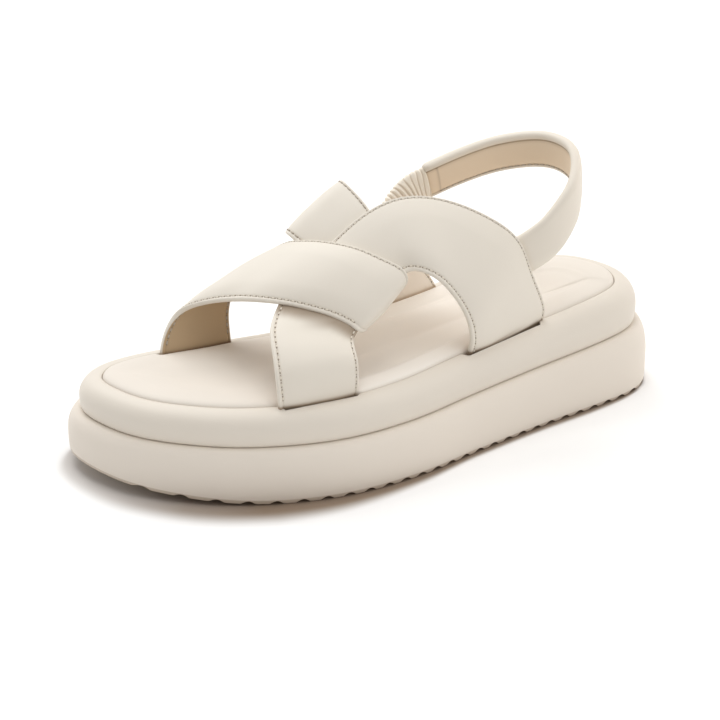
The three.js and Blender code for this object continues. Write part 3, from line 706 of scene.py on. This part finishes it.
def band_sheet(rows):
    """The band's middle layer at even row steps: first edge, second edge, bulge, and the row numbers.

    Edges and bulge are softened along the band.
    """
    places = np.linspace(0, len(rows) - 1, (len(rows) - 1) * BAND_STEPS_PER_ROW + 1)
    first = through(placed(*rows[:, 0:3].T), places)
    second = through(placed(*rows[:, 3:6].T), places)
    bulge = through(rows[:, 6:7], places) / 100 * BALL_WIDTH
    softened = smoothed_line(np.concatenate([first, second, bulge], 1), BAND_STEPS_PER_ROW * BAND_SOFTENING)
    return softened[:, 0:3], softened[:, 3:6], softened[:, 6], places


def band_face(sheet, inset_first, inset_second, height):
    """Points of a band at insets from its first or second edge, off its middle layer by a height.

    The middle layer is straight from edge to edge plus a bulge that is a parabola across it; the height
    is along its normal. One of the two insets is used, and the other is None.
    """
    first, second, bulge = sheet[:3]
    width = np.linalg.norm(second - first, axis=1)[:, None]
    share = inset_first / width if inset_second is None else 1 - inset_second / width
    share = np.clip(share, 0, 1)
    grid = np.linspace(0, 1, ACROSS_STEPS)
    flat = first[:, None] + (second - first)[:, None] * grid[:, None]
    tilt = unit(np.cross(np.gradient(flat, axis=0), np.gradient(flat, axis=1)))
    middle = flat + tilt * (bulge[:, None] * (1 - (2 * grid - 1) ** 2))[..., None]
    normal = unit(np.cross(np.gradient(middle, axis=0), np.gradient(middle, axis=1)))
    spot = share * (len(grid) - 1)
    low = np.minimum(spot.astype(int), len(grid) - 2)
    blend = (spot - low)[..., None]
    rows = np.arange(len(first))[:, None]
    tilt_here = unit(tilt[rows, low] * (1 - blend) + tilt[rows, low + 1] * blend)
    normal_here = unit(normal[rows, low] * (1 - blend) + normal[rows, low + 1] * blend)
    straight = first[:, None] + (second - first)[:, None] * share[..., None]
    bulged = straight + tilt_here * (bulge[:, None] * (1 - (2 * share - 1) ** 2))[..., None]
    return bulged + normal_here * height[..., None], normal_here


def edge_insets(face, sheet, which):
    """Insets of a face's columns from an edge: those in the sewn margin narrow by that edge's share."""
    narrow = 1 - np.interp(sheet[3], *sheet[4][which].T)
    return face[:, 0] * (1 - np.interp(face[:, 0], MARGIN_REACH, [1, 0]) * narrow[:, None])


def end_faces(count, around, turned=False):
    """The two faces that close the ends of a strap of count rings, turned where its sides are turned."""
    first = list(range(around))
    last = list(range(count * around - 1, (count - 1) * around - 1, -1))
    return [first[::-1], last[::-1]] if turned else [first, last]


def sewn_band(name, rows, margins, fold_row, covered_by=None):
    """A band with folded edges: its section runs over the outer face and back over the lining.

    It has painted shade close to an edge line that covers it, by how near the line is.
    Past the fold row the two faces have changed places, and the hidden one has a paler, lit copy
    of the lining: painted light.
    """
    sheet = (*band_sheet(rows), margins)
    count = len(sheet[0])
    ones = np.ones((count, 1))
    parts, shades = [], []
    for face in (OUTER_FACE, LINING_FACE):
        height = face[:, 1] * ones
        there = band_face(sheet, edge_insets(face, sheet, 0), None, height)[0]
        back = band_face(sheet, None, edge_insets(face, sheet, 1)[:, ::-1], height[:, ::-1])[0]
        groove = np.exp(-((face[:, 0] - BAND_STITCH_INSET) / FOLD_GROOVE_REACH) ** 2) * FOLD_GROOVE_SHADE
        across_face = np.concatenate([there, back], 1)
        shade = np.concatenate([groove, groove[::-1]])
        if face is LINING_FACE:
            across_face, shade = across_face[:, -2:0:-1], shade[-2:0:-1]
        parts.append(across_face)
        shades.append(shade)
    points = np.concatenate(parts, 1)
    around = points.shape[1]
    over_seam = points[..., 2] - follow_foot(SEAM_HEIGHT, np.clip(share_of_length(points[..., 1]), 0, 1))
    at_root = np.exp(-np.clip(over_seam - ROOT_LEVEL, 0, None) / ROOT_REACH)
    shade = np.maximum(np.concatenate(shades), ROOT_SHADE * at_root)
    if covered_by is not None:
        near = np.linalg.norm(points[:, :, None] - covered_by, axis=-1).min(-1)
        shade = np.maximum(shade, COVER_SHADE * (1 - smooth_step(near, COVER_START, COVER_REACH)))
    faces = grid_faces(count, around)[:, ::-1]
    outer_columns = 2 * len(OUTER_FACE) - 1
    column = np.arange(len(faces)) % around
    row = np.arange(len(faces)) // around / BAND_STEPS_PER_ROW
    inward = column >= outer_columns
    looks = np.where(row < fold_row, inward, 2 * ~inward)
    # The folded edges are leather on both faces.
    first_edge = (column < EDGE_COLUMNS) | (column >= around - EDGE_COLUMNS)
    looks[first_edge | (np.abs(column - outer_columns) <= EDGE_COLUMNS)] = 0
    faces = faces.tolist() + end_faces(count, around)
    looks = np.concatenate([looks, [0, 0]])
    made = piece(name, points, faces, [bands_leather, lining_leather, lit_lining_copy], shade, looks)
    return made, sheet


inner_band, inner_sheet = sewn_band("inner_band", INNER_BAND_ROWS, INNER_MARGINS, FOLD_ROW)
cover_start, cover_end = (int(row * BAND_STEPS_PER_ROW) for row in COVER_ROWS)
front_edge = inner_sheet[0][cover_start:cover_end:COVER_STEP]
outer_band, outer_sheet = sewn_band(
    "outer_band", OUTER_BAND_ROWS, OUTER_MARGINS, len(OUTER_BAND_ROWS), front_edge,
)
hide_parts("upper")
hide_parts("upper")

# The sewing: a thick thread in short raised stitches with painted shade at their ends for the needle holes
# between them, along both edges of each band, on the leather and on the lining.
STITCH_PITCH, STITCH_LENGTH, THREAD_RADIUS = 2.9, 2.3, 0.36
STITCH_SIDES = 6
INNER_SEWN_FRONT, INNER_SEWN_REAR, OUTER_SEWN = (1.0, 9.8), (12.5, 20.2), (1.0, 15.4)
OUTER_THREAD_LEVEL, LINING_THREAD_LEVEL, LINING_THREAD_SHADE = 0.88, 0.9, 0.5
STITCH_RINGS = np.array([
    # place along the stitch, radius, rise, shade
    [-0.5, 0.7, -0.6, 1], [-0.38, 1, -0.2, 0.9], [-0.2, 1.1, 0.1, 0],
    [0.2, 1.1, 0.1, 0], [0.38, 1, -0.2, 0.9], [0.5, 0.7, -0.6, 1],
])
thread_finish = soft_finish("sewing_thread", colour(224, 216, 202), colour(140, 124, 106), 0.6, 0.25, 0.01)


def stitches(name, lines):
    """Rows of stitches along lines of points with normals and a shade.

    Each stitch is a short six-sided capsule that dips at its ends.
    """
    blocks, shades = [], []
    for line, normals, dim in lines:
        run = length_along(line)
        places = np.arange(STITCH_PITCH, run[-1] - STITCH_PITCH, STITCH_PITCH)
        centre = at_places(places, run, line)
        raised = unit(at_places(places, run, normals))
        along = unit(at_places(places + 0.5, run, line) - centre)
        aside = unit(np.cross(raised, along))
        turn = np.arange(STITCH_SIDES) / STITCH_SIDES * 2 * np.pi
        reach, radius, rise, dark = STITCH_RINGS.T[..., None] * np.ones(STITCH_SIDES)
        offsets = (
            (reach * STITCH_LENGTH)[None, ..., None] * along[:, None, None]
            + (radius * THREAD_RADIUS * np.cos(turn))[None, ..., None] * aside[:, None, None]
            + ((radius * np.sin(turn) + rise) * THREAD_RADIUS)[None, ..., None] * raised[:, None, None]
        )
        blocks.append(centre[:, None, None] + offsets)
        shades.append(np.tile(np.maximum(dark.ravel(), dim), len(centre)))
    block = np.concatenate(blocks)
    each = len(STITCH_RINGS) * STITCH_SIDES
    one = grid_faces(len(STITCH_RINGS), STITCH_SIDES).tolist()
    one += end_faces(len(STITCH_RINGS), STITCH_SIDES, turned=True)
    starts = range(0, len(block) * each, each)
    faces = [[corner + start for corner in face] for start in starts for face in one]
    piece(name, block, faces, [thread_finish], np.concatenate(shades))


def band_lines(sheet, first_row, last_row):
    """The four stitch lines of a band, in the grooves of its two faces, between two rows."""
    places = sheet[3]
    keep = (places >= first_row) & (places <= last_row)
    ones = np.ones((len(places), 1))
    seam_place = np.array([[BAND_STITCH_INSET, 0]])
    lines = []
    for side, level, dim in ((1, OUTER_THREAD_LEVEL, 0), (-1, LINING_THREAD_LEVEL, LINING_THREAD_SHADE)):
        for which in (0, 1):
            inset = edge_insets(seam_place, sheet, which)
            insets = (inset, None) if which == 0 else (None, inset)
            line, normal = band_face(sheet, *insets, side * level * ones)
            lines.append((line[keep, 0], side * normal[keep, 0], dim))
    return lines


inner_lines = band_lines(inner_sheet, *INNER_SEWN_FRONT) + band_lines(inner_sheet, *INNER_SEWN_REAR)
stitches("inner_band_stitches", inner_lines)
stitches("outer_band_stitches", band_lines(outer_sheet, *OUTER_SEWN))

# The sling: a padded strap of soft leather round the heel. The leather rolls over the top edge onto the
# lining and is sewn down there; it starts under the outer band and ends at the gathered elastic.
SLING_ROWS = np.array([
    # side, along, up, lean
    [13, 69.5, 41, 4], [18.2, 74, 49, 4], [20.5, 78, 60, 3], [16.5, 82.5, 76.5, 2], [4.5, 85.5, 88, 4],
    [-8, 85.5, 91.5, 6], [-20, 83.5, 90.5, 7], [-30, 78.5, 87, 7], [-34.5, 72.5, 82, 6], [-35, 66.3, 77.5, 4],
])
SLING_SECTION = np.array([
    # tall, out, shade
    [8.5, 0.0, 0], [8.4, 0.8, 0], [8.0, 1.5, 0], [7.2, 2.05, 0], [6.0, 2.4, 0], [4.0, 2.65, 0],
    [2.0, 2.75, 0], [0, 2.8, 0], [-2.0, 2.75, 0], [-4.0, 2.6, 0], [-6.0, 2.25, 0], [-7.3, 1.75, 0],
    [-8.1, 1.1, 0], [-8.5, 0.4, 0], [-8.5, -0.4, 0], [-8.2, -1.0, 0], [-7.6, -1.3, 0], [-7.1, -1.3, 0.1],
    [-6.8, -1.1, 0.6], [-6.5, -1.3, 0.15], [-5.8, -1.6, 0], [-4.2, -1.85, 0], [-2, -1.95, 0], [0, -2.0, 0],
    [2, -1.95, 0], [3.6, -1.8, 0], [4.5, -1.55, 0.1], [4.9, -1.3, 0.7], [5.2, -1.35, 0.7], [5.5, -1.75, 0.1],
    [6.2, -2.1, 0], [7.1, -2.15, 0], [7.9, -1.75, 0], [8.35, -1.0, 0],
])
# The lining's first and last column of the section, and the column of the sewn edge.
LINING_FIRST, LINING_LAST, SLING_STITCH_COLUMN = 17, 27, 18
SLING_STEPS_PER_ROW, SLING_SOFTENING = 24, 5
END_ROUNDING, END_ROUNDING_REACH, END_NARROWING = 0.35, 2.5, 0.2
END_SEAM_PLACE, END_SEAM_REACH, END_SEAM_SHADE = 5.5, 0.5, 0.35
END_EDGE_REACH, END_EDGE_SHARE = 0.8, 0.6
SLING_STITCH_LIFT, SLING_STITCH_STEPS = 0.1, slice(6, -3)
sling_lining = soft_finish("sling_lining", colour(234, 215, 190), colour(140, 116, 90), 0.6, 0.45, 0.012)
sling_leather = soft_finish("sling_leather", colour(230, 222, 209), colour(150, 128, 104), 0.5, 0.5, 0.014)


def strap_frame(rows, steps_per_row, soften):
    """Middle line of a strap with its outward and tall directions.

    Outwards is the run crossed with up, and both are leant about the run.
    """
    places = np.linspace(0, len(rows) - 1, (len(rows) - 1) * steps_per_row + 1)
    line = smoothed_line(through(placed(*rows[:, 0:3].T), places), soften)
    lean = np.radians(through(rows[:, 3:4], places))
    run = unit(np.gradient(line, axis=0))
    outwards = unit(np.cross(run, [0, 0, 1]))
    tall = np.cross(outwards, run)
    outer = outwards * np.cos(lean) + tall * np.sin(lean)
    upper = tall * np.cos(lean) - outwards * np.sin(lean)
    return line, outer, upper


sling_line, sling_out, sling_tall = strap_frame(SLING_ROWS, SLING_STEPS_PER_ROW, SLING_SOFTENING)
sling_run = length_along(sling_line)
from_end = sling_run[-1] - sling_run
rounded_end = 1 - END_ROUNDING * np.clip(1 - from_end / END_ROUNDING_REACH, 0, 1) ** 2
sling_points = (
    sling_line[:, None]
    + sling_tall[:, None] * (SLING_SECTION[:, 0] * rounded_end[:, None] ** END_NARROWING)[..., None]
    + sling_out[:, None] * (SLING_SECTION[:, 1] * rounded_end[:, None])[..., None]
)
sling_count, sling_around = sling_points.shape[:2]
sling_shade = np.broadcast_to(SLING_SECTION[:, 2], (sling_count, sling_around)).copy()
end_seam = np.exp(-((from_end - END_SEAM_PLACE) / END_SEAM_REACH) ** 2)
end_seam += END_EDGE_SHARE * (from_end < END_EDGE_REACH)
sling_shade[:, LINING_FIRST:LINING_LAST + 1] += END_SEAM_SHADE * end_seam[:, None]
sling_faces = grid_faces(sling_count, sling_around)
sling_column = np.arange(len(sling_faces)) % sling_around
on_lining = (sling_column >= LINING_FIRST) & (sling_column <= LINING_LAST)
sling_looks = on_lining.astype(int).tolist() + [0, 0]
sling_faces = sling_faces.tolist() + end_faces(sling_count, sling_around, turned=True)
sling = piece(
    "heel_sling", sling_points, sling_faces, [sling_leather, sling_lining], sling_shade, sling_looks,
)
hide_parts("heel_strap")

sling_seam = sling_points[:, SLING_STITCH_COLUMN] - sling_out * SLING_STITCH_LIFT
sling_seam, seam_normals = sling_seam[SLING_STITCH_STEPS], -sling_out[SLING_STITCH_STEPS]
stitches("sling_stitches", [(sling_seam, seam_normals, LINING_THREAD_SHADE)])

# The gather: thin leather drawn up in tight folds over a hidden elastic tape, which lets the sling
# give. It comes up from inside the inner band and is sewn into the sling's end.
ELASTIC_ROWS = np.array([
    # side, along, up, lean
    [-31.5, 55.5, 47, 4], [-32.5, 58, 55.5, 4], [-34.5, 61, 66.5, 4],
    [-35, 63.5, 73.5, 4], [-35, 66.6, 76.2, 4],
])
ELASTIC_WIDTH, ELASTIC_THICKNESS, ELASTIC_FOLDS = 15.0, 4.2, 17
ELASTIC_STEPS_PER_ROW, ELASTIC_SOFTENING, ELASTIC_AROUND = 70, 16, 60
FOLD_LEAN, FOLD_WAVER, FOLD_UNEVENNESS = 0.16, 0.09, 0.22
LEAN_DRIFT, WAVER_DRIFT, UNEVEN_RATE = 9, 23, 2.3
FOLD_FULLNESS, SECTION_FULLNESS = 0.75, 0.75
FOLD_TALL, FOLD_OUT = 0.45, 0.75
FOLD_SHADE, FOLD_SHADE_END, FOLD_SHADE_POWER = 0.55, 1.25, 1.3
gather_leather = soft_finish(
    "gathered_leather", colour(248, 240, 226), colour(176, 150, 120), 0.6, 0.4, 0.014
)
gather_line, gather_out, gather_tall = strap_frame(ELASTIC_ROWS, ELASTIC_STEPS_PER_ROW, ELASTIC_SOFTENING)
gather_run = length_along(gather_line)
gather_share = (gather_run / gather_run[-1])[:, None]
turn = np.linspace(0, 2 * np.pi, ELASTIC_AROUND, endpoint=False)[None, :]
# The folds' phase goes up by one for each fold, and wavers round the strap so that no fold is straight.
phase = (
    ELASTIC_FOLDS * gather_share + FOLD_LEAN * np.sin(turn + LEAN_DRIFT * gather_share)
    + FOLD_WAVER * np.sin(3 * turn + WAVER_DRIFT * gather_share)
)
fold = np.abs(np.sin(np.pi * phase)) ** FOLD_FULLNESS
uneven = 1 + FOLD_UNEVENNESS * np.sin(UNEVEN_RATE * np.pi * phase + 2 * turn)
swell = fold * uneven - 0.5
tall_part = np.sign(np.sin(turn)) * np.abs(np.sin(turn)) ** SECTION_FULLNESS
out_part = np.sign(np.cos(turn)) * np.abs(np.cos(turn)) ** SECTION_FULLNESS
gather_points = (
    gather_line[:, None]
    + gather_tall[:, None] * (tall_part * (ELASTIC_WIDTH / 2 + FOLD_TALL * swell))[..., None]
    + gather_out[:, None] * (out_part * (ELASTIC_THICKNESS / 2 + FOLD_OUT * swell))[..., None]
)
gather_shade = np.clip(1 - fold * FOLD_SHADE_END, 0, 1) ** FOLD_SHADE_POWER * FOLD_SHADE
gather_count, gather_around = gather_points.shape[:2]
gather_faces = grid_faces(gather_count, gather_around)[:, ::-1].tolist()
gather_faces += end_faces(gather_count, gather_around)
gather = piece("elastic_gather_folds", gather_points, gather_faces, [gather_leather], gather_shade)
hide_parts("elastic_gather")

# The floor the sandal stands on: white paper that runs out of sight. It has a painted shadow, darker and
# warmer, in a narrow strip along the near side of the sole, where the sole leans over it.
FLOOR_COLOUR, FLOOR_SHADOW_COLOUR = (1.0, 1.0, 1.0, 1), (0.24, 0.165, 0.105, 1)
FLOOR_REACH, FLOOR_LEVEL = 6000.0, -0.1
FRONT_DIRECTION, FACING_POWER = np.array([0.57, -0.82]), 1.5
FLOOR_ROUGHNESS = 0.95
SHADOW_STRIP_WIDTH = np.array([
    # share of the sole's length, width in millimetres
    [0, 13], [0.12, 21], [0.22, 25], [0.4, 21], [0.56, 14], [0.7, 12], [0.84, 11], [1, 7],
])
SHADOW_STRIP_DEPTH = np.array([[0, 0.33], [0.1, 0.78], [0.2, 0.93], [1, 0.9]])
SHADOW_CORE, SHADOW_FAR_SIDE = 0.3, 0.15
floor_steps = [-14, -2, 0, 1, 2, 3, 4, 5, 6, 7.5, 9, 10.5, 12, 14, 16, 19, 24, 32]
floor_steps = np.array(floor_steps)[:, None]
floor_rings = outline + outline_normals * (BOTTOM_EDGE_PROUD + floor_steps)[..., None]
heading = np.arctan2(outline[:, 1], outline[:, 0])
floor_rim = np.stack([np.cos(heading), np.sin(heading)], 1) * FLOOR_REACH
floor_flat = np.concatenate([floor_rings, floor_rim[None]])
facing = np.clip(outline_normals @ FRONT_DIRECTION, 0, 1) ** FACING_POWER
shadow_strip = np.interp(outline_share, *SHADOW_STRIP_WIDTH.T) * (SHADOW_FAR_SIDE + (1 - SHADOW_FAR_SIDE) * facing)
painted_shadow = np.interp(outline_share, *SHADOW_STRIP_DEPTH.T) * (1 - smooth_step(floor_steps / shadow_strip, SHADOW_CORE, 1))
floor_painted_shadow = np.concatenate([painted_shadow, np.zeros((1, OUTLINE_STEPS))])
floor_points = np.concatenate([floor_flat, np.full((*floor_flat.shape[:2], 1), FLOOR_LEVEL)], -1)
floor_faces = grid_faces(*floor_points.shape[:2])[:, ::-1].tolist()
floor_faces += across_faces(0, OUTLINE_STEPS, upwards=True)
floor_mesh = bpy.data.meshes.new("floor")
floor_mesh.from_pydata((floor_points.reshape(-1, 3) * MM).tolist(), [], floor_faces)
deep = floor_mesh.attributes.new("shade", "FLOAT", "POINT")
deep.data.foreach_set("value", floor_painted_shadow.ravel().astype(np.float32))
floor = bpy.data.objects.new("floor", floor_mesh)
bpy.context.scene.collection.objects.link(floor)
# The paper's white is mixed toward the painted shadow's colour by the shade attribute.
floor_paint = bpy.data.materials.new("floor_paper_painted_shadow")
floor_paint.use_nodes = True
floor_nodes = floor_paint.node_tree.nodes
floor_shader = floor_nodes["Principled BSDF"]
floor_shader.inputs["Roughness"].default_value = FLOOR_ROUGHNESS
floor_shader.inputs["Specular IOR Level"].default_value = 0.0
floor_tint = floor_nodes.new("ShaderNodeMix")
floor_tint.data_type = "RGBA"
floor_tint.inputs["A"].default_value = FLOOR_COLOUR
floor_tint.inputs["B"].default_value = FLOOR_SHADOW_COLOUR
floor_depth = floor_nodes.new("ShaderNodeAttribute")
floor_depth.attribute_name = "shade"
floor_paint.node_tree.links.new(floor_depth.outputs["Fac"], floor_tint.inputs["Factor"])
floor_paint.node_tree.links.new(floor_tint.outputs["Result"], floor_shader.inputs["Base Color"])
floor_mesh.materials.append(floor_paint)
